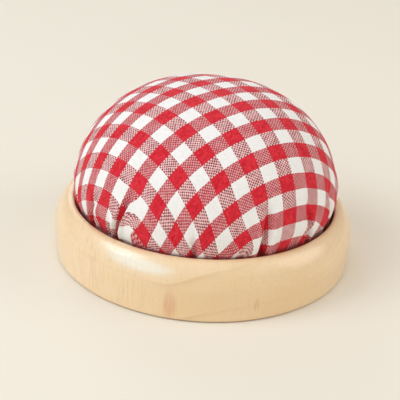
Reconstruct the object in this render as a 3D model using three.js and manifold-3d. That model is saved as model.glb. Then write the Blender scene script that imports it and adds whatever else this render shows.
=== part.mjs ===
// Pincushion: a gathered cotton cushion on a disc, screwed into a turned wooden dish.
// Millimetres, +Z up, origin at the centre of the face that it stands on.

import * as THREE from 'three';
import { mergeVertices } from 'three/addons/utils/BufferGeometryUtils.js';
import Module from 'manifold-3d';

const wasm = await Module();
wasm.setup();

// Fits that several pieces share
const seatGap = 0.1;
const clothGap = 0.3;

// Turned base
const baseRadius = 45;
const rimWidth = 5.8;
const recessDepth = 9;
const webThickness = 3.2;
const wallDraft = 0.3;
const footEase = 0.6;
const footRing = 10.7;
const shoulderDrop = 7.5;
const shoulderFullness = 0.4;
const mouthEase = 0.8;
const lipWidth = 0.4;
const recessFillet = 1.5;

// Felt under the base
const feltThickness = 1.2;
const feltProud = 0.3;
const feltMargin = 0.3;

// Screw and washer
const screwRadius = 2;
const screwTip = 2.4;
const screwTipCover = 0.8;
const screwHoleMargin = 0.5;
const pilotMargin = 0.15;
const headRadius = 3.8;
const headHeight = 2.2;
const headClearance = 0.3;
const slotWidth = 1;
const slotDepth = 0.9;
const washerRadius = 5.5;
const washerThickness = 0.8;
const counterboreMargin = 0.7;

// Disc that the cushion is drawn over
const discThickness = 5;
const discEase = 1;

// Cloth, stuffing and gathering thread
const clothThickness = 0.6;
const domeOverhang = 0.5;
const domeRise = 33.8;
const domeFullness = 2.21;
const bellyRise = 1.5;
const drawDepth = 0.8;
const pleatHeight = 1.8;
const pleatCount = 9;
const cornerDrop = 1;
const cornerInset = 1.3;
const hemRadius = 18;
const hemMargin = 3;
const threadRadius = 0.25;
const stitchSharpness = 8;

// Where the gathers begin on the dome, and how far they have grown, as shares of the whole
const gatherStart = 0.65;
const bellyDraw = 0.7;
const cornerDraw = 0.6;
const cornerPleat = 0.7;

// Numbers of facets
const roundSteps = 80;
const smallSteps = 24;
const arcSteps = 2;
const shoulderSteps = 8;
const columnsPerPleat = 4;
const domeRings = 8;
const threadSides = 5;
const threadStepsPerStitch = 7;
const drillSides = 6;

// Heights of the stack, from the table up
const rebateTop = feltThickness + seatGap;
const underHead = rebateTop + headClearance + headHeight;
const counterboreTop = underHead + washerThickness + 2 * seatGap;
const recessFloor = counterboreTop + webThickness;
const rimTop = recessFloor + recessDepth;
const gatherSpace = pleatHeight + clothThickness + 2 * clothGap;
const gatherMiddle = recessFloor + gatherSpace / 2;
const discBottom = recessFloor + gatherSpace;
const discTop = discBottom + discThickness;

// Radii that fit into each other, from the outside in
const mouthRadius = baseRadius - rimWidth;
const rebateRadius = baseRadius - footRing;
const screwHoleRadius = screwRadius + screwHoleMargin;
const counterboreRadius = washerRadius + counterboreMargin;
const tuckedRadius = mouthRadius - clothGap;
const discRadius = tuckedRadius - drawDepth - clothThickness - clothGap;
const domeRadius = mouthRadius + domeOverhang;

// Turns a closed outline of radius and height about the Z axis.
function turned(outline, steps) {
  return new THREE.LatheGeometry(outline.getPoints(arcSteps), steps).rotateX(Math.PI / 2);
}

// Makes a solid that can be cut from a closed geometry.
function toSolid(geometry) {
  const bare = geometry.clone();
  bare.deleteAttribute('normal');
  bare.deleteAttribute('uv');
  const merged = mergeVertices(bare, 1e-4);
  return new wasm.Manifold(new wasm.Mesh({
    numProp: 3,
    vertProperties: new Float32Array(merged.attributes.position.array),
    triVerts: new Uint32Array(merged.index.array),
  }));
}

// Turns a cut solid back into a geometry.
function toGeometry(solid) {
  const mesh = solid.getMesh();
  const geometry = new THREE.BufferGeometry();
  geometry.setAttribute('position', new THREE.BufferAttribute(new Float32Array(mesh.vertProperties), 3));
  geometry.setIndex(new THREE.BufferAttribute(new Uint32Array(mesh.triVerts), 1));
  geometry.computeVertexNormals();
  return geometry;
}

// Joins rings of equal length into a closed surface between two points on the axis.
function lofted(top, rings, bottom) {
  const columns = rings[0].length;
  const points = [top, ...rings.flat(), bottom];
  const last = points.length - 1;
  const at = (ring, column) => 1 + ring * columns + column % columns;
  const faces = [];
  for (let column = 0; column < columns; column += 1) {
    faces.push(0, at(0, column), at(0, column + 1));
    for (let ring = 0; ring < rings.length - 1; ring += 1) {
      faces.push(at(ring, column), at(ring + 1, column), at(ring + 1, column + 1));
      faces.push(at(ring, column), at(ring + 1, column + 1), at(ring, column + 1));
    }
    faces.push(last, at(rings.length - 1, column + 1), at(rings.length - 1, column));
  }
  const geometry = new THREE.BufferGeometry().setFromPoints(points);
  geometry.setIndex(faces);
  geometry.computeVertexNormals();
  return geometry;
}

// Dish: foot with an eased edge, drafted wall, bevelled shoulder, flat lip and a recess for the cushion.
function baseGeometry() {
  const footRadius = baseRadius - wallDraft;
  const lipRadius = mouthRadius + mouthEase + lipWidth;
  const shoulderWidth = baseRadius - lipRadius;
  const shoulderFoot = rimTop - shoulderDrop;
  const outline = new THREE.Path();
  outline.moveTo(screwHoleRadius, counterboreTop);
  outline.lineTo(counterboreRadius, counterboreTop);
  outline.lineTo(counterboreRadius, rebateTop);
  outline.lineTo(rebateRadius, rebateTop);
  outline.lineTo(rebateRadius, feltProud);
  outline.absarc(footRadius - footEase, feltProud + footEase, footEase, -Math.PI / 2, 0);
  const shoulder = new THREE.CubicBezierCurve(
    new THREE.Vector2(baseRadius, shoulderFoot),
    new THREE.Vector2(baseRadius, shoulderFoot + shoulderFullness * shoulderDrop),
    new THREE.Vector2(lipRadius + shoulderFullness * shoulderWidth, rimTop),
    new THREE.Vector2(lipRadius, rimTop),
  );
  shoulder.getPoints(shoulderSteps).forEach((point) => outline.lineTo(point.x, point.y));
  outline.absarc(mouthRadius + mouthEase, rimTop - mouthEase, mouthEase, Math.PI / 2, Math.PI);
  outline.absarc(mouthRadius - recessFillet, recessFloor + recessFillet, recessFillet, 0, -Math.PI / 2, true);
  outline.lineTo(screwHoleRadius, recessFloor);
  outline.closePath();
  return turned(outline, roundSteps);
}

// Felt disc, let into the foot.
function feltGeometry() {
  const radius = rebateRadius - feltMargin;
  const outline = new THREE.Path();
  outline.moveTo(0, 0);
  outline.lineTo(radius, 0);
  outline.lineTo(radius, feltThickness);
  outline.lineTo(0, feltThickness);
  return turned(outline, roundSteps / 2);
}

// Slotted pan-head screw that points up.
function screwGeometry() {
  const headBottom = underHead - headHeight;
  const tip = discTop - screwTipCover;
  const outline = new THREE.Path();
  outline.moveTo(0, headBottom);
  outline.quadraticCurveTo(headRadius, headBottom, headRadius, underHead);
  outline.lineTo(screwRadius, underHead);
  outline.lineTo(screwRadius, tip - screwTip);
  outline.lineTo(0, tip);
  const slot = new THREE.BoxGeometry(slotWidth, 4 * headRadius, 2 * slotDepth);
  slot.translate(0, 0, headBottom);
  return toGeometry(toSolid(turned(outline, smallSteps)).subtract(toSolid(slot)));
}

// Flat washer between the head and the top of the counterbore.
function washerGeometry() {
  const bottom = underHead + seatGap;
  const outline = new THREE.Path();
  outline.moveTo(screwHoleRadius, bottom);
  outline.lineTo(washerRadius, bottom);
  outline.lineTo(washerRadius, bottom + washerThickness);
  outline.lineTo(screwHoleRadius, bottom + washerThickness);
  outline.closePath();
  return turned(outline, smallSteps);
}

// Plywood disc with eased edges and a pilot hole.
function discGeometry() {
  const pilotRadius = screwRadius + pilotMargin;
  const outline = new THREE.Path();
  outline.moveTo(pilotRadius, discBottom);
  outline.lineTo(discRadius - discEase, discBottom);
  outline.absarc(discRadius - discEase, discBottom + discEase, discEase, -Math.PI / 2, 0);
  outline.absarc(discRadius - discEase, discTop - discEase, discEase, 0, Math.PI / 2);
  outline.lineTo(pilotRadius, discTop);
  outline.closePath();
  return turned(outline, roundSteps / 2);
}

// Meridian of the cover's outside, from the crown to the hem. Draw is how far the gathers pull the cloth in, and
// pleat how far they lift it, as shares of their full depth. The dome is a superellipse.
function coverMeridian() {
  const belly = rimTop + bellyRise;
  const underside = gatherMiddle - clothThickness / 2;
  const line = [];
  for (let ring = 1; ring <= domeRings; ring += 1) {
    const angle = ring / domeRings * Math.PI / 2;
    line.push({
      r: domeRadius * Math.sin(angle) ** (2 / domeFullness),
      z: belly + domeRise * Math.max(Math.cos(angle), 0) ** (2 / domeFullness),
      draw: bellyDraw * Math.max(0, (ring / domeRings - gatherStart) / (1 - gatherStart)),
      pleat: 0,
      fine: ring % 2 === 1,
    });
  }
  const cornerRadius = tuckedRadius - cornerInset;
  const threadLine = hemRadius + hemMargin;
  line.push({ r: tuckedRadius, z: rimTop - mouthEase, draw: 1, pleat: 0 });
  line.push({ r: tuckedRadius, z: discBottom + cornerDrop, draw: 1, pleat: 0 });
  line.push({ r: cornerRadius, z: underside, draw: cornerDraw, pleat: cornerPleat });
  line.push({ r: (cornerRadius + threadLine) / 2, z: underside, draw: 0, pleat: 1 });
  line.push({ r: threadLine + hemMargin, z: underside, draw: 0, pleat: 1 });
  line.push({ r: hemRadius, z: underside, draw: 0, pleat: 1 });
  line.forEach((point, index) => {
    const before = line[index - 1] ?? { r: 0, z: belly + domeRise };
    const after = line[index + 1] ?? point;
    const length = Math.hypot(after.r - before.r, after.z - before.z);
    point.normalR = (before.z - after.z) / length;
    point.normalZ = (after.r - before.r) / length;
  });
  return line;
}

// Ring of points round one meridian point, drawn in and lifted by the gathers, set inwards from the outside.
function gatheredRing(point, inset) {
  const columns = pleatCount * columnsPerPleat;
  const ring = [];
  for (let column = 0; column < columns; column += 1) {
    const angle = column / columns * 2 * Math.PI;
    const wave = Math.cos(pleatCount * angle);
    const radius = point.r - inset * point.normalR - point.draw * drawDepth * (1 - wave) / 2;
    const height = point.z - inset * point.normalZ + point.pleat * pleatHeight / 2 * wave;
    ring.push(new THREE.Vector3(radius * Math.cos(angle), radius * Math.sin(angle), height));
  }
  return ring;
}

// Cover: outside and inside skins that meet at the hem, with the stitch holes drilled through the hem.
function coverGeometry() {
  const crown = rimTop + bellyRise + domeRise;
  const line = coverMeridian();
  const outside = line.map((point) => gatheredRing(point, 0));
  const inside = line.filter((point) => !point.fine).map((point) => gatheredRing(point, clothThickness));
  const skin = lofted(
    new THREE.Vector3(0, 0, crown),
    [...outside, ...inside.reverse()],
    new THREE.Vector3(0, 0, crown - clothThickness),
  );
  const holeRadius = threadRadius + clothGap;
  let cover = toSolid(skin);
  for (let stitch = 0; stitch < 2 * pleatCount; stitch += 1) {
    const drill = new THREE.CylinderGeometry(holeRadius, holeRadius, gatherSpace, drillSides);
    drill.rotateX(Math.PI / 2);
    drill.translate(hemRadius + hemMargin, 0, gatherMiddle);
    drill.rotateZ((stitch + 0.5) / pleatCount * Math.PI);
    cover = cover.subtract(toSolid(drill));
  }
  return toGeometry(cover);
}

// Stuffing: fills the cover down to the disc.
function stuffingGeometry() {
  const inset = clothThickness + clothGap;
  const floor = discTop + seatGap;
  const line = coverMeridian().filter((point) => !point.fine);
  const bellyIndex = line.findIndex((point) => point.draw === 1) - 1;
  const rings = line.slice(0, bellyIndex + 1).map((point) => gatheredRing(point, inset));
  const tuck = gatheredRing(line[bellyIndex + 1], inset);
  const foot = rings[bellyIndex].map((point, column) => {
    const share = (point.z - floor) / (point.z - tuck[column].z);
    return point.clone().lerp(tuck[column], share).setZ(floor);
  });
  const crown = rimTop + bellyRise + domeRise - inset;
  return lofted(new THREE.Vector3(0, 0, crown), [...rings, foot], new THREE.Vector3(0, 0, floor));
}

// Gathering thread: one closed ring that dives through the hem between pleats, under each crest and over each valley.
function threadGeometry() {
  const radius = hemRadius + hemMargin;
  const rise = gatherSpace / 2 - threadRadius - clothGap;
  const steps = 2 * pleatCount * threadStepsPerStitch;
  const path = [];
  for (let step = 0; step < steps; step += 1) {
    const stitch = Math.floor(step / threadStepsPerStitch);
    const share = 2 * (step % threadStepsPerStitch) / threadStepsPerStitch - 1;
    const angle = (stitch + 0.5 + share ** 3 / 2) / pleatCount * Math.PI;
    const dive = Math.tanh(stitchSharpness * Math.cos(pleatCount * angle));
    path.push(new THREE.Vector3(radius * Math.cos(angle), radius * Math.sin(angle), gatherMiddle - rise * dive));
  }
  const points = [];
  path.forEach((centre, step) => {
    const along = path[(step + 1) % steps].clone().sub(path[(step + steps - 1) % steps]).normalize();
    const out = new THREE.Vector3(centre.x, centre.y, 0).normalize();
    const up = out.clone().cross(along);
    for (let side = 0; side < threadSides; side += 1) {
      const turn = side / threadSides * 2 * Math.PI;
      points.push(centre.clone()
        .addScaledVector(out, threadRadius * Math.cos(turn))
        .addScaledVector(up, threadRadius * Math.sin(turn)));
    }
  });
  const faces = [];
  const at = (step, side) => (step % steps) * threadSides + side % threadSides;
  for (let step = 0; step < steps; step += 1) {
    for (let side = 0; side < threadSides; side += 1) {
      faces.push(at(step, side), at(step + 1, side), at(step + 1, side + 1));
      faces.push(at(step, side), at(step + 1, side + 1), at(step, side + 1));
    }
  }
  const geometry = new THREE.BufferGeometry().setFromPoints(points);
  geometry.setIndex(faces);
  geometry.computeVertexNormals();
  return geometry;
}

const pincushion = new THREE.Group();

function addPiece(name, geometry, color, roughness, metalness = 0) {
  const mesh = new THREE.Mesh(geometry, new THREE.MeshStandardMaterial({ color, roughness, metalness }));
  mesh.name = name;
  pincushion.add(mesh);
}

addPiece('base_felt', feltGeometry(), 0x8a6f55, 0.95);
addPiece('wooden_base', baseGeometry(), 0xe6c597, 0.4);
addPiece('fixing_screw', screwGeometry(), 0xb8b8b2, 0.35, 1);
addPiece('screw_washer', washerGeometry(), 0xb8b8b2, 0.4, 1);
addPiece('mounting_disc', discGeometry(), 0xd9bd92, 0.7);
addPiece('gathering_thread', threadGeometry(), 0xf2ece0, 0.8);
addPiece('stuffing', stuffingGeometry(), 0xf4f1ea, 0.95);
addPiece('cushion_cover', coverGeometry(), 0xd9777c, 0.85);

export default pincushion;
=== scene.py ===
import math
from functools import partial

import bmesh
import bpy
import numpy as np
from mathutils import Matrix, Vector


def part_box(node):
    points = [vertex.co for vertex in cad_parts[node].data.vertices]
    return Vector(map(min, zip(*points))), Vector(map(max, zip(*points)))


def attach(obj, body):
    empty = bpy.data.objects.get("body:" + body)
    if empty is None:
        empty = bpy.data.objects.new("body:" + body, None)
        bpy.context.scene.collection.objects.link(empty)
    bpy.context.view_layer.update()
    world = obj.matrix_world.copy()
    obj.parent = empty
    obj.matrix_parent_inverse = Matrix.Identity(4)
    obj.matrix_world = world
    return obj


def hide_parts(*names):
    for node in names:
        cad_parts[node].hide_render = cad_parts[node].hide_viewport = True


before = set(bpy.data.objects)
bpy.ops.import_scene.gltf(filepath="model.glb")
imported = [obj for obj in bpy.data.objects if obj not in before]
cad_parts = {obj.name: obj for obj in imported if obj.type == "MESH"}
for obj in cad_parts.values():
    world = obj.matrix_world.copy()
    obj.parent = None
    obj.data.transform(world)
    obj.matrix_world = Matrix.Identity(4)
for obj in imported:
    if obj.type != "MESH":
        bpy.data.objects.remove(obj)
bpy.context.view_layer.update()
mm = 0.001


# Camera. It stands in front of the pincushion and a little above it, with a short telephoto lens,
# and leans slightly to one side.
camera_lens = 85.0
camera_rise = math.radians(25.55)
camera_lean = math.radians(3.67)
camera_distance = 287.6 * mm
camera_aim = Vector((-1.37, 0.0, 15.31)) * mm


def placed(name, data):
    """A new object in the scene."""
    item = bpy.data.objects.new(name, data)
    bpy.context.collection.objects.link(item)
    return item


camera_back = Vector((0.0, -math.cos(camera_rise), math.sin(camera_rise)))
level_right = Vector((1.0, 0.0, 0.0))
level_up = camera_back.cross(level_right)
camera_right = math.cos(camera_lean) * level_right + math.sin(camera_lean) * level_up
camera_up = math.cos(camera_lean) * level_up - math.sin(camera_lean) * level_right
camera_axes = Matrix((camera_right, camera_up, camera_back)).transposed().to_4x4()
camera = placed("camera", bpy.data.cameras.new("camera"))
camera.data.lens = camera_lens
camera.matrix_world = Matrix.Translation(camera_aim + camera_distance * camera_back) @ camera_axes
bpy.context.scene.camera = camera
bpy.context.scene.view_settings.view_transform = "Standard"


# Floor. A sheet of smooth cream paper, much wider than the picture, that the pincushion stands on.
# Its colour changes very slightly from place to place.
floor_half = 6.0
paper_light = (240, 233, 221)
paper_dark = (238, 231, 217)
paper_patches = 9.0


def linear(colour):
    """Red, green and blue from 0 to 255 as a screen shows them, turned into linear light with alpha."""
    share = np.array(colour) / 255.0
    light = np.where(share <= 0.04045, share / 12.92, ((share + 0.055) / 1.055) ** 2.4)
    return (*light.tolist(), 1.0)


def add_node(kind, inputs, **settings):
    """Adds a node to the tree of its linked inputs, sets its options, gives each input its value or link, and
    returns its outputs."""
    links = [name for name, value in inputs.items() if isinstance(value, bpy.types.NodeSocket)]
    tree = inputs[links[0]].id_data
    node = tree.nodes.new("ShaderNode" + kind)
    for name, value in settings.items():
        setattr(node, name, value)
    for name, value in inputs.items():
        if name in links:
            tree.links.new(value, node.inputs[name])
        else:
            node.inputs[name].default_value = value
    return node.outputs


def new_material(name, **constants):
    """A material, its one surface shader with the constants set on its sockets, and the place on the piece in
    metres."""
    material = bpy.data.materials.new(name)
    material.use_nodes = True
    shader = material.node_tree.nodes["Principled BSDF"]
    for socket, value in constants.items():
        shader.inputs[socket.replace("_", " ")].default_value = value
    return material, shader, material.node_tree.nodes.new("ShaderNodeTexCoord").outputs["Object"]


def feed(shader, **values):
    """Links what changes over the surface to the shader's inputs."""
    for socket, value in values.items():
        shader.id_data.links.new(value, shader.inputs[socket.replace("_", " ")])


def noise(place, waves, detail=2.0, roughness=0.5):
    """Smooth noise from 0 to 1 at a place, with so many waves to each unit of it."""
    settings = {"Vector": place, "Scale": waves, "Detail": detail, "Roughness": roughness}
    return add_node("TexNoise", settings)["Fac"]


def blend(share, first, second):
    """Mixes two colours, each a screen's or another node's, by a share. The mix node has its colours on
    inputs 6 and 7 and on output 2."""
    first, second = (linear(one) if isinstance(one, tuple) else one for one in (first, second))
    return add_node("Mix", {0: share, 6: first, 7: second}, data_type="RGBA")[2]


paper, shader, place = new_material("cream_paper", Roughness=0.9, Specular_IOR_Level=0.2)
patches = noise(place, paper_patches)
feed(shader, Base_Color=blend(patches, paper_light, paper_dark))
floor_corners = floor_half * np.array([(-1, -1, 0), (1, -1, 0), (1, 1, 0), (-1, 1, 0)])
floor_mesh = bpy.data.meshes.new("floor")
floor_mesh.from_pydata(floor_corners.tolist(), [], [(0, 1, 2, 3)])
floor_mesh.materials.append(paper)
floor = placed("floor", floor_mesh)


# Light. A cool lamp to the left throws the shadow, and soft ones stand low in front, to the right, behind
# and above. The window shows only as a reflection in the lacquer, and the front lamp never does. A pale,
# warm room lights everything evenly. Turns and rises are in degrees, and sizes in metres.
room_colour = (1.0, 0.967, 0.895)
room_strength = 0.505
lamp_distance = 1.4


def named_rows(names, rows):
    """Rows of values as dictionaries, with one name for each column."""
    return [dict(zip(names, row)) for row in rows]


lamps = named_rows(("name", "turn", "rise", "wide", "tall", "power", "colour"), [
    ("left_lamp", -77.0, 45.0, 0.75, 0.75, 5.9, (0.87, 0.92, 1.0)),
    ("front_lamp", -49.5, 29.0, 1.3, 0.95, 5.2, (0.85, 0.95, 1.0)),
    ("window", -49.0, 29.5, 1.25, 0.74, 8.0, (0.0, 0.53, 0.96)),
    ("right_lamp", 88.0, 30.0, 0.95, 0.95, 3.8, (1.0, 0.96, 0.92)),
    ("back_lamp", -160.0, 28.0, 0.8, 0.8, 2.2, (1.0, 1.0, 1.0)),
    ("upper_lamp", 35.0, 58.0, 1.8, 1.8, 3.6, (0.98, 0.97, 0.99)),
])
world = bpy.data.worlds.new("pale_room")
world.use_nodes = True
room_light = world.node_tree.nodes["Background"].inputs
room_light["Color"].default_value = (*room_colour, 1.0)
room_light["Strength"].default_value = room_strength
bpy.context.scene.world = world
for lamp in lamps:
    lamp_data = bpy.data.lights.new(lamp["name"], "AREA")
    lamp_data.shape = "ELLIPSE"
    lamp_data.size = lamp["wide"]
    lamp_data.size_y = lamp["tall"]
    lamp_data.energy = lamp["power"]
    lamp_data.color = lamp["colour"]
    turn, rise = math.radians(lamp["turn"]), math.radians(lamp["rise"])
    way = Vector((math.sin(turn) * math.cos(rise), -math.cos(turn) * math.cos(rise), math.sin(rise)))
    lamp_object = placed(lamp["name"], lamp_data)
    lamp_object.location = lamp_distance * way
    lamp_object.rotation_euler = way.to_track_quat("Z", "Y").to_euler()
    lamp_object.visible_diffuse = lamp["name"] != "window"
    lamp_object.visible_glossy = lamp["name"] != "front_lamp"


# Wooden base. A dish turned from one piece of pale hardwood, with a rounded shoulder, a recess for
# the cushion and a rebate for the felt. It is sanded smooth and has a thin satin lacquer.
base_low, base_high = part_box("wooden_base")
base_radius = base_high.x
rim_top = base_high.z
foot_bottom = base_low.z
rim_width = 5.8 * mm
recess_floor = rim_top - 9.0 * mm
mouth_radius = base_radius - rim_width
mouth_ease = 0.8 * mm
lip_radius = mouth_radius + mouth_ease + 0.4 * mm
foot_radius = base_radius - 0.3 * mm
foot_ease = 0.6 * mm
shoulder_drop = 7.5 * mm
shoulder_fullness = 0.4
recess_fillet = 1.5 * mm
rebate_radius = base_radius - 10.7 * mm
rebate_top = 1.3 * mm
counterbore_radius = 6.2 * mm
counterbore_top = 4.8 * mm
hole_radius = 2.5 * mm
base_columns = 288
weld_distance = 0.0001 * mm
sharp_angle = math.radians(38)


def straight(start, end, steps):
    """Points evenly spaced from start up to, but not at, the end."""
    share = np.arange(steps)[:, None] / steps
    return np.array(start) * (1 - share) + np.array(end) * share


def round_corner(centre, radius, first, last, steps):
    """Points on a circle about the centre, from the first angle to the last."""
    angle = np.linspace(first, last, steps + 1)
    return np.array(centre) + radius * np.stack([np.cos(angle), np.sin(angle)], 1)


def bezier(first, second, third, fourth, steps):
    """Points on a cubic Bezier curve with these four handles."""
    t = np.linspace(0, 1, steps + 1)[:, None]
    start = (1 - t) ** 3 * np.array(first) + 3 * t * (1 - t) ** 2 * np.array(second)
    return start + 3 * t ** 2 * (1 - t) * np.array(third) + t ** 3 * np.array(fourth)


def turned(outline, columns):
    """An outline of radius and height carried round the upright axis: x and y are the radius times the
    cosine and sine of the turn."""
    turn = np.arange(columns) / columns * 2 * np.pi
    radius = outline[:, :1]
    height = np.repeat(outline[:, 1:], columns, 1)
    return np.stack([radius * np.cos(turn), radius * np.sin(turn), height], -1)


def surface_piece(name, points, closed_rows, cloth_place=None):
    """A piece from a grid of points, rows by columns, that meets itself round the columns and, if its rows
    are closed, along them too. Rows that shrink to a point become one. Faces look outwards where the
    rows climb on the outside. A place on the cloth for each point becomes a UV map."""
    rows, columns = points.shape[:2]
    index = np.arange(rows * columns).reshape(rows, columns)
    lower = index if closed_rows else index[:-1]
    upper = np.roll(index, -1, 0) if closed_rows else index[1:]
    faces = np.stack([lower, np.roll(lower, -1, 1), np.roll(upper, -1, 1), upper], -1).reshape(-1, 4)
    mesh = bpy.data.meshes.new(name)
    mesh.from_pydata(points.reshape(-1, 3).tolist(), [], faces.tolist())
    if cloth_place is not None:
        uv = mesh.uv_layers.new(name="cloth_place")
        uv.data.foreach_set("uv", cloth_place.reshape(-1, 2)[faces.ravel()].astype(np.float32).ravel())
    form = bmesh.new()
    form.from_mesh(mesh)
    bmesh.ops.remove_doubles(form, verts=form.verts, dist=weld_distance)
    form.to_mesh(mesh)
    form.free()
    mesh.polygons.foreach_set("use_smooth", np.ones(len(mesh.polygons), bool))
    mesh.set_sharp_from_angle(angle=sharp_angle)
    return placed(name, mesh)


def finished(piece, material, node):
    """Gives the piece its material, lets it ride on the one body, and stands it in for its CAD node."""
    piece.data.materials.append(material)
    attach(piece, "root")
    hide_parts(node)


quarter = math.pi / 2
shoulder_foot = rim_top - shoulder_drop
shoulder_width = base_radius - lip_radius
base_outline = np.concatenate([
    straight((hole_radius, counterbore_top), (counterbore_radius, counterbore_top), 3),
    straight((counterbore_radius, counterbore_top), (counterbore_radius, rebate_top), 3),
    straight((counterbore_radius, rebate_top), (rebate_radius, rebate_top), 8),
    straight((rebate_radius, rebate_top), (rebate_radius, foot_bottom), 2),
    straight((rebate_radius, foot_bottom), (foot_radius - foot_ease, foot_bottom), 5),
    round_corner((foot_radius - foot_ease, foot_bottom + foot_ease), foot_ease, -quarter, 0, 6),
    straight((foot_radius, foot_bottom + foot_ease), (base_radius, shoulder_foot), 10)[1:],
    bezier(
        (base_radius, shoulder_foot),
        (base_radius, shoulder_foot + shoulder_fullness * shoulder_drop),
        (lip_radius + shoulder_fullness * shoulder_width, rim_top),
        (lip_radius, rim_top),
        24,
    ),
    round_corner((mouth_radius + mouth_ease, rim_top - mouth_ease), mouth_ease, quarter, 2 * quarter, 6),
    straight((mouth_radius, rim_top - mouth_ease), (mouth_radius, recess_floor + recess_fillet), 6)[1:],
    round_corner((mouth_radius - recess_fillet, recess_floor + recess_fillet), recess_fillet, 0, -quarter, 6),
    straight((mouth_radius - recess_fillet, recess_floor), (hole_radius, recess_floor), 10)[1:],
    straight((hole_radius, recess_floor), (hole_radius, counterbore_top), 3),
])
wooden_base = surface_piece("turned_base", turned(base_outline, base_columns), True)

# The wood's colours, the waves of its grain to the metre, and the centres and half sizes of its patches in
# metres. A contrast is the stretch of a noise that counts, and a strength is what it becomes.
wood_pale = (244, 215, 176)
wood_straw = (237, 204, 156)
wood_fibre = (216, 176, 126)
wood_ring = (203, 158, 108)
wood_stain = (212, 138, 94)
wood_roughness = (0.36, 0.5)
lacquer_strength = (0.72, 0.58)
grain_turn = math.radians(11)
tone_waves, tone_stretch, tone_contrast = 45.0, (1, 3, 1), (0.3, 0.7)
fibre_waves, fibre_stretch = 1300.0, (1, 28, 1)
fibre_contrast, fibre_strength = (0.45, 0.8), (0.0, 0.24)
ray_waves, ray_stretch = 1500.0, (1, 4, 14)
ray_contrast, ray_strength = (0.5, 0.78), (0.1, 0.6)
ray_centre, ray_reach = (-0.0246, -0.0377, 0.008), (0.024, 0.03, 0.014)
ring_pitch = 11.0 * mm
ring_start = 10.8 * mm
ring_lean = -0.168
ring_opening = 0.252
ring_span = 18.0 * mm
ring_blunt = 1.5 * mm
ring_sway = 0.6 * mm
sway_waves, sway_stretch, sway_contrast = 55.0, (1, 5, 1), (0.25, 0.75)
latewood_start, latewood_end, latewood_sharpness = 0.62, 0.95, 3.0
break_waves, break_contrast, break_strength = 40.0, (0.35, 0.65), (0.3, 1.0)
ring_centre, ring_reach, ring_strength = (-0.012, -0.044, 0.008), (0.036, 0.05, 0.03), (0.08, 0.42)
stains = named_rows(("centre", "size", "contrast", "strength"), [
    ((-0.0078, -0.0443, 0.0046), (0.0026, 0.004, 0.0062), (0.3, 0.6), (0.2, 0.55)),
    ((0.0158, -0.0418, 0.0052), (0.0012, 0.004, 0.003), (0.45, 0.6), (0.0, 0.7)),
])
spot_core = 0.25


def number(operation, first, second=0.0, third=0.0):
    """One sum, product or other operation on numbers."""
    return add_node("Math", {0: first, 1: second, 2: third}, operation=operation)[0]


add, multiply, multiply_add = (partial(number, name) for name in ("ADD", "MULTIPLY", "MULTIPLY_ADD"))


def vector(operation, first, second=(0.0, 0.0, 0.0), third=(0.0, 0.0, 0.0)):
    """One sum, product or other operation on places."""
    return add_node("VectorMath", {0: first, 1: second, 2: third}, operation=operation)[0]


def stretched(place, stretch):
    """The place drawn out along each axis, so that a pattern on it gets longer there."""
    return vector("MULTIPLY", place, tuple(1 / s for s in stretch))


def ranged(value, low, high, new_low=0.0, new_high=1.0, smooth=False):
    """Brings a number from one range into another, and keeps it inside."""
    settings = {"Value": value, "From Min": low, "From Max": high, "To Min": new_low, "To Max": new_high}
    kind = "SMOOTHSTEP" if smooth else "LINEAR"
    return add_node("MapRange", settings, interpolation_type=kind)[0]


def spot(place, centre, size):
    """A soft patch: 1 at the centre, falling to 0 at its half sizes along each axis."""
    away = stretched(vector("SUBTRACT", place, centre), size)
    length = add_node("VectorMath", {0: away}, operation="LENGTH")["Value"]
    return ranged(length, spot_core, 1.0, 1.0, 0.0, smooth=True)


def bumped(height, strength, distance):
    """A normal that leans with the slope of a height, whose step from 0 to 1 is a distance in metres."""
    return add_node("Bump", {"Height": height, "Strength": strength, "Distance": distance})[0]


wood, shader, place = new_material("lacquered_wood", Coat_Roughness=0.2, Coat_IOR=1.8)
along_grain = add_node("Mapping", {"Vector": place, "Rotation": (0.0, 0.0, grain_turn)})[0]
parts = add_node("SeparateXYZ", {0: along_grain})
tone = noise(stretched(along_grain, tone_stretch), tone_waves, detail=3.0)
tone = ranged(tone, *tone_contrast)
fibre = noise(stretched(along_grain, fibre_stretch), fibre_waves, detail=4.0, roughness=0.6)
rays = noise(stretched(along_grain, ray_stretch), ray_waves, detail=3.0, roughness=0.6)
colour = blend(tone, wood_pale, wood_straw)
colour = blend(ranged(fibre, *fibre_contrast, *fibre_strength), colour, wood_fibre)
ray_share = ranged(spot(place, ray_centre, ray_reach), 0.0, 1.0, *ray_strength)
ray_share = multiply(ranged(rays, *ray_contrast), ray_share)
colour = blend(ray_share, colour, wood_fibre)

sway = noise(stretched(along_grain, sway_stretch), sway_waves)
sway = ranged(sway, *sway_contrast, -ring_sway, ring_sway)
sideways = number("TANH", number("DIVIDE", parts["X"], ring_span))
sideways = multiply(sideways, ring_span)
across = multiply(sideways, sideways)
across = number("SQRT", add(across, ring_blunt ** 2))
ring_depth = multiply_add(sideways, ring_lean, parts["Z"])
ring_depth = add(multiply_add(across, -ring_opening, ring_depth), sway)
ring_share = number("DIVIDE", number("SUBTRACT", ring_depth, ring_start), ring_pitch)
ring_share = number("FRACT", ring_share)
ring_rise = ranged(ring_share, latewood_start, latewood_end)
ring_fall = ranged(ring_share, latewood_end, 1.0, 1.0, 0.0)
ring_line = multiply(number("POWER", ring_rise, latewood_sharpness), ring_fall)
breaks = ranged(noise(along_grain, break_waves), *break_contrast, *break_strength)
ring_line = multiply(ring_line, breaks)
ring_patch = ranged(spot(place, ring_centre, ring_reach), 0.0, 1.0, *ring_strength)
colour = blend(multiply(ring_line, ring_patch), colour, wood_ring)
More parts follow.
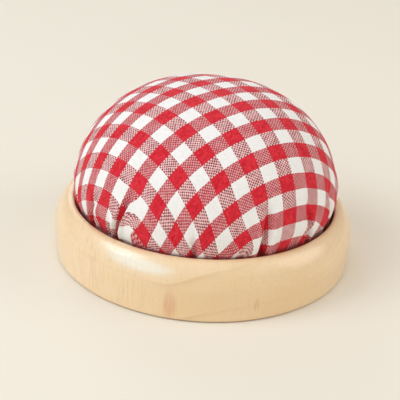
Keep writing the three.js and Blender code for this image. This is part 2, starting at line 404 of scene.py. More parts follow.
for stain in stains:
    streaks = ranged(rays, *stain["contrast"], *stain["strength"])
    stained = multiply(spot(place, stain["centre"], stain["size"]), streaks)
    colour = blend(stained, colour, wood_stain)
feed(
    shader, Base_Color=colour,
    Roughness=ranged(fibre, 0.2, 0.8, *wood_roughness),
    Coat_Weight=ranged(tone, 0.0, 1.0, *lacquer_strength),
    Normal=bumped(fibre, strength=0.12, distance=0.02 * mm),
)
finished(wooden_base, wood, "wooden_base")


# Mounting disc. A disc of five-ply birch with eased edges and a pilot hole in its middle, which
# carries the cushion. The cover is drawn over its edge and gathered under it.
disc_low, disc_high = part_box("mounting_disc")
disc_radius = disc_high.x
disc_bottom = disc_low.z
disc_top = disc_high.z
disc_ease = 1.0 * mm
pilot_radius = 2.15 * mm
disc_columns = 160
disc_steps = (10, 5, 10, 5)
ply_count = 5
ply_pale = (226, 198, 154)
ply_dark = (198, 160, 112)
glue_brown = (120, 84, 52)
glue_width, glue_strength = 0.08, 0.7
ply_waves, ply_stretch = 900.0, 20
ply_contrast, ply_strength = (0.4, 0.75), (0.0, 0.6)
crossed_darkness = 0.35


def eased_disc(hole, outer, low, high, ease, steps):
    """The outline of a flat disc with rounded outer edges, along its underside, edges, upper side and hole,
    with so many steps on each."""
    edge = outer - ease
    under, corner, upper, bore = steps
    return np.concatenate([
        straight((hole, low), (edge, low), under),
        round_corner((edge, low + ease), ease, -quarter, 0, corner),
        round_corner((edge, high - ease), ease, 0, quarter, corner),
        straight((edge, high), (hole, high), upper)[1:],
        straight((hole, high), (hole, low), bore),
    ])


disc_outline = eased_disc(pilot_radius, disc_radius, disc_bottom, disc_top, disc_ease, disc_steps)
mounting_disc = surface_piece("plywood_disc", turned(disc_outline, disc_columns), True)

plywood, shader, place = new_material("birch_plywood", Roughness=0.7)
parts = add_node("SeparateXYZ", {0: place})
ply = ranged(parts["Z"], disc_bottom, disc_top, 0.0, ply_count)
crossed = number("PINGPONG", number("FLOOR", ply), 1.0)
lengthways = noise(stretched(place, (ply_stretch, 1, 1)), ply_waves, detail=3.0)
crossways = noise(stretched(place, (1, ply_stretch, 1)), ply_waves, detail=3.0)
grain = add_node("Mix", {0: crossed, 2: lengthways, 3: crossways})[0]
grain_shade = ranged(grain, *ply_contrast, *ply_strength)
shade = multiply_add(crossed, crossed_darkness, grain_shade)
glue_line = ranged(number("PINGPONG", ply, 0.5), 0.0, glue_width, glue_strength, 0.0)
colour = blend(shade, ply_pale, ply_dark)
colour = blend(glue_line, colour, glue_brown)
feed(shader, Base_Color=colour, Normal=bumped(grain, strength=0.3, distance=0.05 * mm))
finished(mounting_disc, plywood, "mounting_disc")


# Stuffing. A firm ball of white polyester fibre, flat where it sits on the disc, with the soft lumps
# that a hand leaves when it packs the fibre in. It stands back from the cover near the rim.
cover_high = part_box("cushion_cover")[1]
crown = cover_high.z
dome_radius = cover_high.x
belly = rim_top + 1.5 * mm
dome_fullness = 2.21
stuffing_floor = disc_top + 0.1 * mm
stuffing_inset = 1.3 * mm
belly_inset = 4.6 * mm
stuffing_ease = 1.0 * mm
stuffing_steps = 48
stuffing_columns = 120
lump_depth = 0.7 * mm
lump_start = 4.0 * mm
lump_waves = (120, 420)
stuffing_lumps, stuffing_seed = 40, 3
fibre_light = (250, 249, 246)
fibre_dark = (222, 219, 212)
strand_waves, strand_stretch, strand_share = 1600.0, (1, 1, 9), 0.6
tuft_waves, tuft_contrast = 160.0, (0.3, 0.7)


def dome(steps):
    """Radius and height down the dome from its crown to its widest ring: a superellipse, whose radius and
    height are powers of the sine and cosine of an angle."""
    angle = np.linspace(0, quarter, steps)
    power = 2 / dome_fullness
    radius = dome_radius * np.sin(angle) ** power
    height = belly + (crown - belly) * np.maximum(np.cos(angle), 0) ** power
    return np.stack([radius, height], 1)


def unit(vectors):
    """The same directions with a length of 1."""
    return vectors / np.linalg.norm(vectors, axis=-1, keepdims=True)


def lumps(points, depth, waves, seed):
    """The mean of slow cosine waves in random directions through the place of each point."""
    draw = np.random.default_rng(seed)
    directions = draw.normal(size=(waves, 3))
    directions *= draw.uniform(*lump_waves, (waves, 1)) / np.linalg.norm(directions, axis=1, keepdims=True)
    starts = draw.uniform(0, 2 * np.pi, waves)
    return depth * np.cos(points @ directions.T + starts).mean(-1)


stuffing_line = dome(stuffing_steps)
dome_share = np.linspace(0, 1, stuffing_steps)[:, None]
shrink = stuffing_inset + (belly_inset - stuffing_inset) * dome_share ** 3
stuffing_line[:, :1] *= 1 - shrink / dome_radius
stuffing_line[:, 1:] -= shrink * (1 - dome_share)
floor_edge = (stuffing_line[-1, 0] - stuffing_ease, stuffing_floor)
stuffing_rows = np.concatenate([
    straight((0.0, stuffing_floor), floor_edge, 10),
    straight(floor_edge, tuple(stuffing_line[-1]), 4),
    stuffing_line[::-1],
])
stuffing_points = turned(stuffing_rows, stuffing_columns)
lump_share = np.clip((stuffing_points[..., 2:] - stuffing_floor) / lump_start, 0, 1)
outwards = unit(stuffing_points - np.array([0.0, 0.0, belly]))
dents = lump_depth + lumps(stuffing_points, lump_depth, stuffing_lumps, stuffing_seed)
stuffing_points -= lump_share * outwards * dents[..., None]
stuffing = surface_piece("fibre_stuffing", stuffing_points, False)


def mixed(first, second, share):
    """A share of one number and the rest of another."""
    return multiply_add(first, share, multiply(second, 1 - share))


fibre_white, shader, place = new_material("polyester_fibre", Roughness=0.95, Sheen_Weight=0.3)
strands = noise(stretched(place, strand_stretch), strand_waves, detail=5.0, roughness=0.7)
shade = mixed(strands, noise(place, tuft_waves, detail=4.0, roughness=0.6), strand_share)
colour = blend(ranged(shade, *tuft_contrast), fibre_dark, fibre_light)
feed(shader, Base_Color=colour, Normal=bumped(shade, strength=0.8, distance=0.6 * mm))
finished(stuffing, fibre_white, "stuffing")


# Cushion cover. One round of red and white gingham cotton, drawn tight over the stuffing and the edge
# of the disc and gathered under it, so that it puckers where it goes down into the wood.
cloth_thickness = 0.45 * mm
cloth_gap = 0.3 * mm
tucked_radius = mouth_radius - cloth_gap
mouth_lean = 0.15 * mm
corner_rise = 1.0 * mm
corner_run = 1.3 * mm
gather_middle = recess_floor + 1.5 * mm
hem_radius = 18.0 * mm
hem_pleats = 9
hem_pleat_height = 1.8 * mm
hem_draw = 0.4 * mm
pleat_run = 6.0 * mm
sink_run = 2.5 * mm
disc_clearance = 0.15 * mm
disc_room = tucked_radius - disc_radius - cloth_thickness - disc_clearance
room_growth = 3
dome_steps = 800
course_steps = 2400
rounding_steps, rounding_width = 15, 2.5

# Puckers, each with its turn in degrees, and in millimetres how far its upper end leans, how far it reaches
# up the dome, its depth, its width, the ridges beside it and the cloth tucked into it. Side 1 takes all that
# cloth from one side. The first six show from the front, and those of the far side are drawn at random.
pucker_names = ("turn", "lean", "reach", "depth", "width", "swell", "tuck", "side")
seen_puckers = [
    (-143.6, 2.6, 10.0, 1.6, 0.8, 0.9, 1.6, 0.0),
    (-132.0, 0.5, 10.0, 0.6, 0.8, 0.3, 0.6, 0.0),
    (-128.3, 5.4, 15.0, 2.6, 0.6, 0.9, 4.2, 1.0),
    (-93.2, 0.0, 6.0, 1.2, 0.8, 0.4, 1.0, 0.0),
    (-65.2, 2.0, 15.0, 2.4, 0.95, 0.9, 2.0, 0.0),
    (-41.0, -2.0, 12.0, 1.3, 0.7, 0.6, 1.5, 0.0),
]
unseen_count = 16
unseen_seed = 11
unseen_first, unseen_step, unseen_jitter = -20.0, 14.5, 4.5
unseen_least = np.array([-2.0, 7.0, 0.5, 0.7, 0.25, 0.6, 0.0])
unseen_most = np.array([2.0, 15.0, 1.4, 1.1, 0.5, 1.5, 0.0])
unseen_draws = [3, 2, 0, 1, 0, 0, 0]
draw = np.random.default_rng(unseen_seed)
unseen_turns = unseen_first + unseen_step * np.arange(unseen_count)
unseen_turns += draw.uniform(-unseen_jitter, unseen_jitter, unseen_count)
unseen_shares = draw.uniform(0.0, 1.0, (unseen_count, 4))[:, unseen_draws]
unseen_sizes = unseen_least + (unseen_most - unseen_least) * unseen_shares
unseen_puckers = np.column_stack([unseen_turns, unseen_sizes]).tolist()
puckers = named_rows(pucker_names, seen_puckers + unseen_puckers)
crease_blunt = 0.35
ridge_place, ridge_width = 2.2, 1.3
tuck_spread = 6.0

# Drifts, where the pull of the thread has slid the checks: the turn, the length down from the crown, the
# half width in degrees and in millimetres, and how far down and aside on the flat cloth the checks come from.
drifts = named_rows(("turn", "length", "sector", "band", "down", "aside"), [
    (-105.0, 54.0, 11.0, 5.5, -0.85, -0.6),
    (-71.5, 56.5, 10.0, 8.0, 1.7, -1.5),
    (-33.0, 60.0, 9.0, 5.0, -0.8, 1.5),
    (-72.5, 59.5, 5.5, 4.0, 2.1, -2.5),
    (-125.5, 53.5, 4.0, 5.5, -2.0, 0.0),
    (-119.5, 57.0, 4.5, 4.0, 3.4, 0.5),
    (-120.0, 61.5, 5.0, 3.5, -3.4, 1.8),
    (-117.5, 47.0, 4.5, 4.5, 0.0, -1.1),
    (-50.0, 61.5, 8.0, 3.5, -1.0, 0.0),
    (-112.0, 61.5, 6.0, 3.5, -1.0, 0.0),
    (-136.0, 58.0, 5.0, 4.0, 0.7, 1.1),
])

# Curls, where the lowest band of the dome turns in and leaves a gap to the wood: the turn and the half width
# in degrees, and the depth in millimetres on top of what it has all round.
curl_least = 0.5
curl_height = 5.0 * mm
curl_overlap = 1.5 * mm
curls = named_rows(("turn", "spread", "depth"), [
    (-24.0, 16.0, 0.5),
    (-50.0, 12.0, 0.4),
    (-147.0, 10.0, 0.6),
    (-124.0, 10.0, 0.4),
    (-137.0, 9.0, 0.5),
    (60.0, 25.0, 0.5),
    (150.0, 20.0, 0.4),
])


def cover_line():
    """Radius, height and length down the outside of the cover from its crown to its hem: the dome, then the
    tuck into the wood, the wall of the recess and the run in under the disc, evenly spaced and rounded
    by a running average. The second result is the length down to the widest ring."""
    underside = gather_middle - cloth_thickness / 2
    tuck = np.array([
        (tucked_radius + mouth_lean, rim_top - mouth_ease),
        (tucked_radius, disc_bottom + corner_rise),
        (tucked_radius - corner_run, underside),
        (hem_radius, underside),
    ])
    line = np.concatenate([dome(dome_steps), tuck])
    length = np.concatenate([[0], np.cumsum(np.hypot(*np.diff(line, axis=0).T))])
    even = np.linspace(0, length[-1], course_steps)
    line = np.stack([np.interp(even, length, line[:, 0]), np.interp(even, length, line[:, 1])], 1)
    kernel = np.exp(-np.linspace(-rounding_width, rounding_width, 2 * rounding_steps + 1) ** 2)
    kernel /= kernel.sum()
    padded = np.pad(line, ((rounding_steps, rounding_steps), (0, 0)), mode="reflect", reflect_type="odd")
    rounded = np.stack([np.convolve(padded[:, k], kernel, "valid") for k in (0, 1)], 1)
    rounded[:rounding_steps] = line[:rounding_steps]
    return np.column_stack([rounded, even]), length[dome_steps - 1]


def smooth_step(value):
    """0 below 0 and 1 above 1, with an S-shaped rise between."""
    value = np.clip(value, 0, 1)
    return value * value * (3 - 2 * value)


def turn_apart(turn, other):
    """The turn from one direction to another, by the shorter way round."""
    return (turn - other + np.pi) % (2 * np.pi) - np.pi


def pucker_depths(length, turn):
    """How far each point is drawn in and how far the cloth there is tucked sideways, both in metres. A pucker
    is a groove with steep flanks and a ridge on each side, which fades out up the dome and leans to one side;
    the tuck is a smooth step across it. A curl draws the lowest band of the dome in, over a soft sector."""
    depth = np.zeros_like(turn)
    tuck = np.zeros_like(turn)
    for pucker in puckers:
        above = np.clip((belly_length - length) / (pucker["reach"] * mm), 0, 1)
        fade = (1 - above ** 3) ** 1.5
        line_turn = math.radians(pucker["turn"]) + pucker["lean"] * mm / dome_radius * above
        away = turn_apart(turn, line_turn) * dome_radius / (pucker["width"] * mm)
        ridges = sum(np.exp(-((away - ridge) / ridge_width) ** 2) for ridge in (ridge_place, -ridge_place))
        crease = np.exp(crease_blunt - np.sqrt(away ** 2 + crease_blunt ** 2))
        depth += fade * mm * (pucker["depth"] * crease - pucker["swell"] * ridges)
        step = (np.tanh(away) + pucker["side"]) * np.exp(-(away / tuck_spread) ** 2)
        tuck += fade * pucker["tuck"] * mm / 2 * step
    low_band = smooth_step((length - belly_length + curl_height) / (curl_height + curl_overlap))
    curl = np.full_like(turn, curl_least * mm)
    for sector in curls:
        away = turn_apart(turn, math.radians(sector["turn"])) / math.radians(sector["spread"])
        curl += sector["depth"] * mm * np.exp(-away ** 2)
    return depth + low_band * curl, tuck


def cover_form(length, turn):
    """Points on the outside of the cover, from the length down from the crown and the turn, and where each
    lies on the flat cloth. The puckers draw it in at the belly, but never onto the disc, and the hem waves
    up and down in pleats. The drifts shift the place on the flat cloth by soft bell-shaped steps."""
    tracks = (*cover_course[:, :2].T, *cover_slope.T)
    radius, height, slope_out, slope_up = (np.interp(length, cover_course[:, 2], track) for track in tracks)
    depth, tuck = pucker_depths(length, turn)
    above_disc = height - disc_top
    room = disc_room + np.maximum(above_disc + disc_ease, 0) + room_growth * np.maximum(above_disc, 0)
    sunk = np.clip((disc_top - disc_ease - height) / sink_run, 0, 1)
    depth = np.minimum(depth, room) * (1 - sunk)
    wave = np.cos(hem_pleats * turn)
    pleat = np.clip((height < disc_bottom) * (tucked_radius - radius) / pleat_run, 0, 1)
    radius = radius + slope_up * depth - sunk * hem_draw * (1 - wave)
    height = height - slope_out * depth + pleat * hem_pleat_height / 2 * wave
    out = np.stack([np.cos(turn), np.sin(turn)], -1)
    aside = np.stack([-np.sin(turn), np.cos(turn)], -1)
    points = np.concatenate([radius[..., None] * out, height[..., None]], -1)
    for drift in drifts:
        away = turn_apart(turn, math.radians(drift["turn"])) / math.radians(drift["sector"])
        above = (length / mm - drift["length"]) / drift["band"]
        share = np.exp(-away ** 2 - above ** 2)
        length = length + share * drift["down"] * mm
        tuck = tuck + share * drift["aside"] * mm
    return points, length[..., None] * out + tuck[..., None] * aside


cover_course, belly_length = cover_line()
cover_slope = unit(np.gradient(cover_course[:, :2], axis=0))

# The gingham's checks on the flat cloth, in millimetres. The red yarns run along two lines that are not quite
# square to each other, because the cloth is pulled. A pitch is the repeat of a red and a white check.
falling_turn = math.radians(39.42)
rising_turn = math.radians(39.42 - 90.0 + 5.86)
falling_pitch = 10.201
rising_pitch = 8.782
falling_shift = 11.961
rising_shift = -14.978
pull = 0.574e-4
falling_bends = (-0.922e-3, 0.699e-3, 2.066e-3)
rising_bends = (0.512e-3, -0.911e-3, -0.221e-3)


def check_places(flat):
    """Where a point of the flat cloth lies in the pattern, counted in repeats along each set of yarns: its
    parts along the two yarn lines, bent by small square terms, and drawn together away from the middle."""
    lines = np.array([
        [math.cos(falling_turn), math.cos(rising_turn)],
        [math.sin(falling_turn), math.sin(rising_turn)],
    ])
    along = (flat / mm) @ np.linalg.inv(lines).T
    u, v = along[..., 0], along[..., 1]
    squares = np.stack([u * u, u * v, v * v], -1)
    falling = u * (1 - pull * v * v) + squares @ np.array(falling_bends)
    rising = v * (1 - pull * u * u) + squares @ np.array(rising_bends)
    return np.stack([(falling + falling_shift) / falling_pitch, (rising + rising_shift) / rising_pitch], -1)


def finer(grid, closed):
    """Twice as many points: each new one lies on a smooth curve through four neighbours, with weights
    -1, 9, 9 and -1 sixteenths."""
    if closed:
        before, after, later = np.roll(grid, 1, 0), np.roll(grid, -1, 0), np.roll(grid, -2, 0)
        between = (9 * (grid + after) - before - later) / 16
        return np.stack([grid, between], 1).reshape(-1, *grid.shape[1:])
    padded = np.concatenate([2 * grid[:1] - grid[1:2], grid, 2 * grid[-1:] - grid[-2:-1]])
    between = (9 * (padded[1:-2] + padded[2:-1]) - padded[:-3] - padded[3:]) / 16
    joined = np.stack([grid[:-1], between], 1).reshape(-1, *grid.shape[1:])
    return np.concatenate([joined, grid[-1:]])


def finer_both(grid):
    """Twice as many points down the cover and twice as many round it."""
    return finer(finer(grid, False).swapaxes(0, 1), True).swapaxes(0, 1)


def grid_normals(points):
    """Outward normals of the cover's grid, from the cross product of its two directions."""
    down = np.gradient(points, axis=0)
    round_way = np.roll(points, -1, 1) - np.roll(points, 1, 1)
    normals = np.cross(down, round_way)
    normals[0] = (0, 0, 1)
    return unit(normals)


def square_place(share, turn):
    """Where a point of a disc lies on a square from -1 to 1: each ring becomes a square, and each quarter
    turn becomes one side of it, run through evenly."""
    side = np.round(turn / quarter)
    along = (turn - side * quarter) / (quarter / 2)
    out = np.stack([np.round(np.cos(side * quarter)), np.round(np.sin(side * quarter))], -1)
    aside = np.stack([-out[..., 1], out[..., 0]], -1)
    return share[..., None] * (out + along[..., None] * aside)


def square_grid(count):
    """The other way round: the share of the radius and the turn on a disc of each point of an even square
    grid."""
    across, down = np.meshgrid(np.linspace(-1, 1, count), np.linspace(-1, 1, count), indexing="ij")
    share = np.maximum(np.abs(across), np.abs(down))
    sideways = np.abs(across) >= np.abs(down)
    larger = np.where(sideways, across, down)
    smaller = np.where(sideways, down, -across)
    lean = quarter / 2 * smaller / np.where(share > 0, larger, 1)
    start = np.where(sideways, 0.0, quarter) + np.where(larger < 0, np.pi, 0.0)
    return share, (start + lean) % (2 * np.pi)


def between_points(field, places):
    """Values of a square field at places from -1 to 1, in proportion between the four nearest points."""
    last = field.shape[0] - 1
    exact = np.clip((places + 1) / 2 * last, 0, last - 1e-6)
    low = np.floor(exact).astype(int)
    share_x, share_y = np.moveaxis(exact - low, -1, 0)
    x, y = np.moveaxis(low, -1, 0)
    near = field[x, y] * (1 - share_y) + field[x, y + 1] * share_y
    far = field[x + 1, y] * (1 - share_y) + field[x + 1, y + 1] * share_y
    return near * (1 - share_x) + far * share_x


swell_length = belly_length + 4.0 * mm
swell_count = 121
swell_scale = 20.0
swell_pressure = 20.0
swell_frames = 20
swell_cap = 1.2 * mm
held_depth = 0.35 * mm


def swelling():
    """How far the cover swells, in metres, on a square grid over the dome. A cloth laid over the dome, many
    times as large, is held inside the rim and in the creases and pressed out evenly from within; a cap
    keeps each point near its start."""
    share, turn = square_grid(swell_count)
    start = cover_form(share * swell_length, turn)[0]
    index = np.arange(swell_count ** 2).reshape(swell_count, swell_count)
    faces = np.stack([index[:-1, :-1], index[1:, :-1], index[1:, 1:], index[:-1, 1:]], -1).reshape(-1, 4)
    mesh = bpy.data.meshes.new("pressed_cloth")
    mesh.from_pydata((start.reshape(-1, 3) * swell_scale).tolist(), [], faces.tolist())
    cloth = placed("pressed_cloth", mesh)
    held = cloth.vertex_groups.new(name="held")
    creased = pucker_depths(share * swell_length, turn)[0] > held_depth
    creased |= share * swell_length > belly_length
    held.add(np.flatnonzero(creased).tolist(), 1.0, "REPLACE")
    press = cloth.modifiers.new("pressed", "CLOTH")
    press.settings.vertex_group_mass = "held"
    press.settings.use_pressure = True
    press.settings.uniform_pressure_force = swell_pressure
    press.settings.effector_weights.gravity = 0.0
    press.point_cache.frame_end = swell_frames
    for moment in range(1, swell_frames + 1):
        bpy.context.scene.frame_set(moment)
    pressed = cloth.evaluated_get(bpy.context.evaluated_depsgraph_get()).to_mesh()
    moved = np.empty(len(pressed.vertices) * 3)
    pressed.vertices.foreach_get("co", moved)
    bpy.data.objects.remove(cloth)
    bpy.data.meshes.remove(mesh)
    bpy.context.scene.frame_set(1)
    moved = moved.reshape(swell_count, swell_count, 3) / swell_scale - start
    normals = unit(np.cross(np.gradient(start, axis=0), np.gradient(start, axis=1)))
    return np.clip((moved * normals).sum(-1), -swell_cap, swell_cap)


cover_rows = 66
cover_columns = 360
inner_row_step = 5
row_shares = [0, 0.5, 0.84, 1]
row_stops = [0.0, 0.62 * belly_length, belly_length + 5 * mm, cover_course[-1, 2]]
row_length = np.interp(np.linspace(0, 1, cover_rows), row_shares, row_stops)
column_turn = np.arange(cover_columns) / cover_columns * 2 * np.pi
grid_length, grid_turn = np.meshgrid(row_length, column_turn, indexing="ij")
outside, flat_cloth = cover_form(grid_length, grid_turn)
places = square_place(np.minimum(grid_length / swell_length, 1.0), grid_turn)
swell = between_points(swelling(), places) * (grid_length < swell_length)
swell -= swell.mean(1, keepdims=True)
outside += swell[..., None] * grid_normals(outside)
outside = finer_both(outside)
flat_cloth = finer_both(flat_cloth)
outside[0] = outside[0].mean(0)
inside = (outside - cloth_thickness * grid_normals(outside))[::inner_row_step]
cover_grid = np.concatenate([inside, outside[::-1]])
cloth_grid = np.concatenate([flat_cloth[::inner_row_step], flat_cloth[::-1]])
cushion_cover = surface_piece("gingham_cover", cover_grid, False, check_places(cloth_grid))

# The weave. Red and white yarns pass over and under each other, each a little uneven, and a band of painted
# shade darkens the cloth towards brown where it goes down past the rim into the wood.
yarns_per_repeat = 20
red_share = 0.51
deep_red = (200, 16, 36)
faded_red = (235, 52, 66)
plain_white = (250, 247, 245)
# Crossing colours with painted light: red yarns among white are darkened with painted shade between the
# yarns, the
# falling ones most, and white yarns among red are tinted pink with painted bounce light, falling ones also
# shaded.
rising_red_on_white_shaded = (192, 52, 64)
rising_white_on_red_bounce_lit = (248, 205, 203)
falling_red_on_white_shaded = (146, 56, 66)
falling_white_on_red_shade_bounce = (224, 166, 167)
yarn_lift = 0.6
rising_lead = 0.16
waver_waves, yarn_waver = 2.6, 0.05
crossing_uneven = 0.8
pair_uneven = 0.8
slub_waves, slub_length = 0.83, 7.0
slub_contrast, slub_strength = (0.25, 0.75), (0.0, 0.11)
# Painted shade at the rim: the brown the cloth darkens towards, how far, and the half height of the band.
painted_shade_brown = (124, 50, 38)
painted_shade_most = 0.75
painted_shade_reach = 0.4 * mm
half = (0.5, 0.5, 0.5)


def yarn_family(repeats):
    """One set of yarns: which yarn a point is on, how high the round yarn is there, and whether it is red."""
    counted = multiply(repeats, yarns_per_repeat)
    order = number("FLOOR", counted)
    aside = number("SUBTRACT", number("FRACT", counted), 0.5)
    rounded = number("COSINE", multiply(aside, math.pi))
    middle = number("DIVIDE", add(order, 0.5), yarns_per_repeat)
    in_repeat = number("FRACT", add(middle, red_share / 2))
    return order, rounded, number("LESS_THAN", in_repeat, red_share)


def chance(place, spread):
    """A random number for each whole place, evenly spread about 0."""
    grains = add_node("TexWhiteNoise", {"Vector": place}, noise_dimensions="2D")
    return ranged(grains["Value"], 0.0, 1.0, -spread / 2, spread / 2)


def yarn_colour(red, crossed_red, order, along, crossing_white, crossing_red):
    """Red or white cotton that, where it crosses the other colour, is darkened with painted shade between the
    yarns, white also tinted pink with painted light bounced off the red, and a little different from yarn to
    yarn and along each yarn."""
    among_white = blend(red, plain_white, crossing_red)
    among_red = blend(red, crossing_white, plain_red)
    colour = blend(crossed_red, among_white, among_red)
    along = multiply(along, slub_length)
    yarn_place = add_node("CombineXYZ", {0: order, 1: along})[0]
    slub = ranged(noise(yarn_place, slub_waves, detail=1.0), *slub_contrast, *slub_strength)
    return blend(slub, colour, (0, 0, 0))


gingham, shader, place = new_material(
    "gingham_cotton", Roughness=0.88, Specular_IOR_Level=0.25, Sheen_Weight=0.06
)
cloth_map = shader.id_data.nodes.new("ShaderNodeUVMap")
cloth_map.uv_map = "cloth_place"
cloth_place = cloth_map.outputs[0]
waver = add_node("TexNoise", {"Vector": cloth_place, "Scale": waver_waves, "Detail": 3.0})
waver = vector("SUBTRACT", waver["Color"], half)
wavering_place = vector("MULTIPLY_ADD", waver, (yarn_waver, yarn_waver, 0.0), cloth_place)
parts = add_node("SeparateXYZ", {0: wavering_place})
falling_order, falling_round, falling_red = yarn_family(parts["X"])
rising_order, rising_round, rising_red = yarn_family(parts["Y"])
over = number("PINGPONG", add(falling_order, rising_order), 1.0)
over = multiply_add(over, 2.0, -1.0)
falling_wave = multiply(over, rising_round)
rising_wave = multiply(over, falling_round)
falling_height = multiply_add(falling_wave, yarn_lift, falling_round)
rising_height = add(rising_round, rising_lead)
rising_height = multiply_add(rising_wave, -yarn_lift, rising_height)
crossing = add_node("CombineXYZ", {0: falling_order, 1: rising_order})[0]
pair = vector("FLOOR", vector("MULTIPLY", crossing, half))
uneven = add(chance(crossing, crossing_uneven), chance(pair, pair_uneven))
rising_height = add(rising_height, uneven)
rising_on_top = number("GREATER_THAN", rising_height, falling_height)
weave_height = number("MAXIMUM", rising_height, falling_height)
most_uneven = (crossing_uneven + pair_uneven) / 2
fading = ranged(uneven, -most_uneven, most_uneven)
plain_red = blend(fading, deep_red, faded_red)
falling_colour = yarn_colour(
    falling_red, rising_red, falling_order, parts["Y"], falling_white_on_red_shade_bounce, falling_red_on_white_shaded
)
rising_colour = yarn_colour(
    rising_red, falling_red, rising_order, parts["X"], rising_white_on_red_bounce_lit, rising_red_on_white_shaded
)
colour = blend(rising_on_top, falling_colour, rising_colour)
cloth_height = add_node("SeparateXYZ", {0: place})["Z"]
# Painted shade: the cloth darkens towards brown below the top of the rim, where it goes into the gap by the
# wood.
painted_shade = ranged(cloth_height, rim_top - painted_shade_reach, rim_top + painted_shade_reach, painted_shade_most, 0.0)
colour = blend(painted_shade, colour, painted_shade_brown)
feed(shader, Base_Color=colour, Normal=bumped(weave_height, strength=0.5, distance=0.1 * mm))
finished(cushion_cover, gingham, "cushion_cover")


# Gathering thread. One ring of two-ply waxed cotton, sewn through the pleated hem under the disc: it
# runs under each pleat's crest and over each valley, and pulls the cover tight.
thread_radius = 0.25 * mm
thread_ring_radius = hem_radius + 3.0 * mm
thread_rise = 0.95 * mm
thread_dive = 8.0
thread_twist = 1.3 * mm
thread_groove = 0.3
thread_rings = 1296
thread_sides = 12
thread_light = (240, 234, 220)
thread_dark = (206, 194, 172)
fluff_waves, fluff_contrast = 9000.0, (0.3, 0.7)


def twisted_thread():
    """A tube round a ring that rises and falls like the hyperbolic tangent of a cosine. Its section has two
    lobes, as its radius goes with the size of a cosine, and turns evenly along the length."""
    turn = np.arange(thread_rings) / thread_rings * 2 * np.pi
    rise = -thread_rise * np.tanh(thread_dive * np.cos(hem_pleats * turn))
    out = np.stack([np.cos(turn), np.sin(turn), np.zeros_like(turn)], 1)
    middle = thread_ring_radius * out
    middle[:, 2] = gather_middle + rise
    upward = np.cross(out, unit(np.roll(middle, -1, 0) - np.roll(middle, 1, 0)))
    steps = np.linalg.norm(np.roll(middle, -1, 0) - middle, axis=1)
    twists = np.round(steps.sum() / thread_twist)
    twist = np.concatenate([[0], np.cumsum(steps)[:-1]]) / steps.sum() * twists * np.pi
    angle = np.arange(thread_sides) / thread_sides * 2 * np.pi
    lobe = np.abs(np.cos(angle[None, :] - twist[:, None]))
    radius = thread_radius * (1 - thread_groove * (1 - lobe))
    across = radius[..., None] * np.cos(angle)[:, None] * out[:, None]
    return middle[:, None] + across - radius[..., None] * np.sin(angle)[:, None] * upward[:, None]


gathering_thread = surface_piece("cotton_thread", twisted_thread(), True)
waxed_cotton, shader, place = new_material("waxed_cotton", Roughness=0.6, Sheen_Weight=0.15)
fluff = noise(place, fluff_waves, detail=3.0, roughness=0.6)
colour = blend(ranged(fluff, *fluff_contrast), thread_dark, thread_light)
feed(shader, Base_Color=colour, Normal=bumped(fluff, strength=0.4, distance=0.03 * mm))
finished(gathering_thread, waxed_cotton, "gathering_thread")


# Screw and washer. A slotted pan-head wood screw of zinc-plated steel goes up through the base into the
# disc and pulls the cushion down; a flat washer of the same steel spreads its load.
washer_low, washer_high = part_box("screw_washer")
washer_ease = 0.12 * mm
washer_columns = 96
washer_steps = (4, 4, 4, 2)
screw_low, screw_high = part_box("fixing_screw")
head_radius = screw_high.x
head_top = washer_low.z - 0.1 * mm
head_height = head_top - screw_low.z
head_edge = 0.35
head_rows = 14
slot_width = 1.0 * mm
slot_depth = 0.9 * mm
shank_radius = 2.0 * mm
root_radius = 1.45 * mm
screw_pitch = 1.25 * mm
crest_half = 0.36
plain_shank = 4.5 * mm
tip_length = 2.4 * mm
screw_columns = 48
screw_rows = 150
zinc_light = (206, 208, 205)
zinc_dark = (150, 152, 152)
crystal_waves, crystal_share = 1400.0, 0.4
scratch_waves, scratch_stretch = 4000.0, (1, 12, 1)
scratch_contrast, zinc_roughness = (0.3, 0.7), (0.25, 0.45)
washer_ends = (washer_low.z, washer_high.z)
washer_outline = eased_disc(hole_radius, washer_high.x, *washer_ends, washer_ease, washer_steps)
screw_washer = surface_piece("flat_washer", turned(washer_outline, washer_columns), True)


def screw_points():
    """The head's low dome, whose height goes with the square of the radius, its flat upper side, and the
    shank. The thread is a sharp wave of radius that climbs one pitch a turn, and its point narrows to the
    axis."""
    share = np.linspace(0, 1, head_rows)
    edge = head_top - head_edge * head_height
    dome_height = screw_low.z + (edge - screw_low.z) * share ** 2
    head = np.stack([head_radius * share, dome_height], 1)
    flat_side = np.array([(head_radius, head_top), (shank_radius, head_top)])
    low = turned(np.concatenate([head, flat_side]), screw_columns)
    height = np.linspace(head_top, screw_high.z, screw_rows)[:, None]
    turn = np.arange(screw_columns) / screw_columns * 2 * np.pi
    climb = (height / screw_pitch - turn / (2 * np.pi)) % 1.0
    crest = np.clip(1 - np.abs(climb - 0.5) / crest_half, 0, 1)
    begun = smooth_step((height - head_top - plain_shank) / screw_pitch)
    narrowed = np.clip((screw_high.z - height) / tip_length, 0, 1)
    radius = narrowed * (shank_radius - begun * (shank_radius - root_radius) * (1 - crest))
    tall = np.repeat(height, screw_columns, 1)
    shank = np.stack([radius * np.cos(turn), radius * np.sin(turn), tall], -1)
    return np.concatenate([low, shank[1:]])


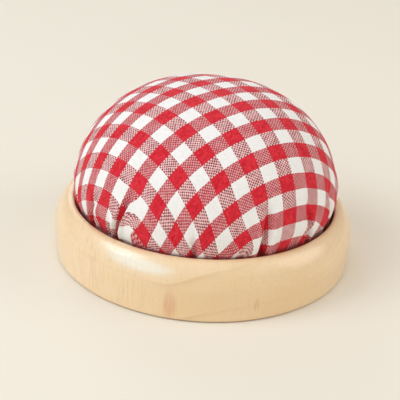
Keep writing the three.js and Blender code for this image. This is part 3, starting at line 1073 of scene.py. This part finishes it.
fixing_screw = surface_piece("wood_screw", screw_points(), False)
slot_box = bpy.data.meshes.new("slot_box")
slot_form = bmesh.new()
bmesh.ops.create_cube(slot_form, size=1.0)
slot_form.to_mesh(slot_box)
slot_form.free()
slot_cutter = placed("slot_cutter", slot_box)
slot_cutter.scale = (slot_width, 4 * head_radius, 2 * slot_depth)
slot_cutter.location = (0.0, 0.0, screw_low.z)
slot_cut = fixing_screw.modifiers.new("slot", "BOOLEAN")
slot_cut.object = slot_cutter
slot_cut.solver = "EXACT"
bpy.context.view_layer.update()
cut_screw = fixing_screw.evaluated_get(bpy.context.evaluated_depsgraph_get())
uncut_mesh = fixing_screw.data
fixing_screw.data = bpy.data.meshes.new_from_object(cut_screw)
fixing_screw.modifiers.clear()
bpy.data.objects.remove(slot_cutter)
bpy.data.meshes.remove(slot_box)
bpy.data.meshes.remove(uncut_mesh)


def zinc_plate(name):
    """Zinc-plated steel: grey metal with small crystal patches and fine scratches."""
    material, shader, place = new_material(name, Metallic=1.0)
    crystals = add_node("TexVoronoi", {"Vector": place, "Scale": crystal_waves})
    crystal_shade = add_node("SeparateColor", {0: crystals["Color"]})[0]
    scratches = noise(stretched(place, scratch_stretch), scratch_waves, detail=4.0, roughness=0.7)
    worn = mixed(crystal_shade, scratches, crystal_share)
    feed(
        shader, Base_Color=blend(worn, zinc_dark, zinc_light),
        Roughness=ranged(scratches, *scratch_contrast, *zinc_roughness),
        Normal=bumped(scratches, strength=0.15, distance=0.01 * mm),
    )
    return material


finished(screw_washer, zinc_plate("washer_zinc"), "screw_washer")
finished(fixing_screw, zinc_plate("screw_zinc"), "fixing_screw")


# Base felt. A disc of brown pressed wool felt, cut with a punch and glued into the rebate under the
# base, so that the pincushion stands softly and hides its screw.
felt_low, felt_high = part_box("base_felt")
felt_ease = 0.3 * mm
felt_dimple = 0.08 * mm
felt_closeness, felt_lumps, felt_seed = 4, 24, 8
felt_columns = 192
felt_steps = (40, 5, 12, 1)
felt_brown = (150, 126, 103)
felt_dark = (112, 90, 70)
hair_waves, hair_share = 2600.0, 0.65
matted_waves, felt_contrast = 300.0, (0.32, 0.68)
felt_outline = eased_disc(0.0, felt_high.x, felt_low.z, felt_high.z, felt_ease, felt_steps)
felt_points = turned(felt_outline, felt_columns)
felt_under = felt_points[..., 2] < (felt_low.z + felt_high.z) / 2
felt_press = felt_dimple / 2 + lumps(felt_points * felt_closeness, felt_dimple, felt_lumps, felt_seed)
felt_points[..., 2] += felt_under * np.clip(felt_press, 0, felt_dimple)
base_felt = surface_piece("felt_disc", felt_points, False)

wool_felt, shader, place = new_material("wool_felt", Roughness=0.97, Sheen_Weight=0.35)
hairs = noise(place, hair_waves, detail=6.0, roughness=0.75)
shade = mixed(hairs, noise(place, matted_waves, detail=3.0, roughness=0.6), hair_share)
colour = blend(ranged(shade, *felt_contrast), felt_dark, felt_brown)
feed(shader, Base_Color=colour, Normal=bumped(shade, strength=0.7, distance=0.15 * mm))
finished(base_felt, wool_felt, "base_felt")
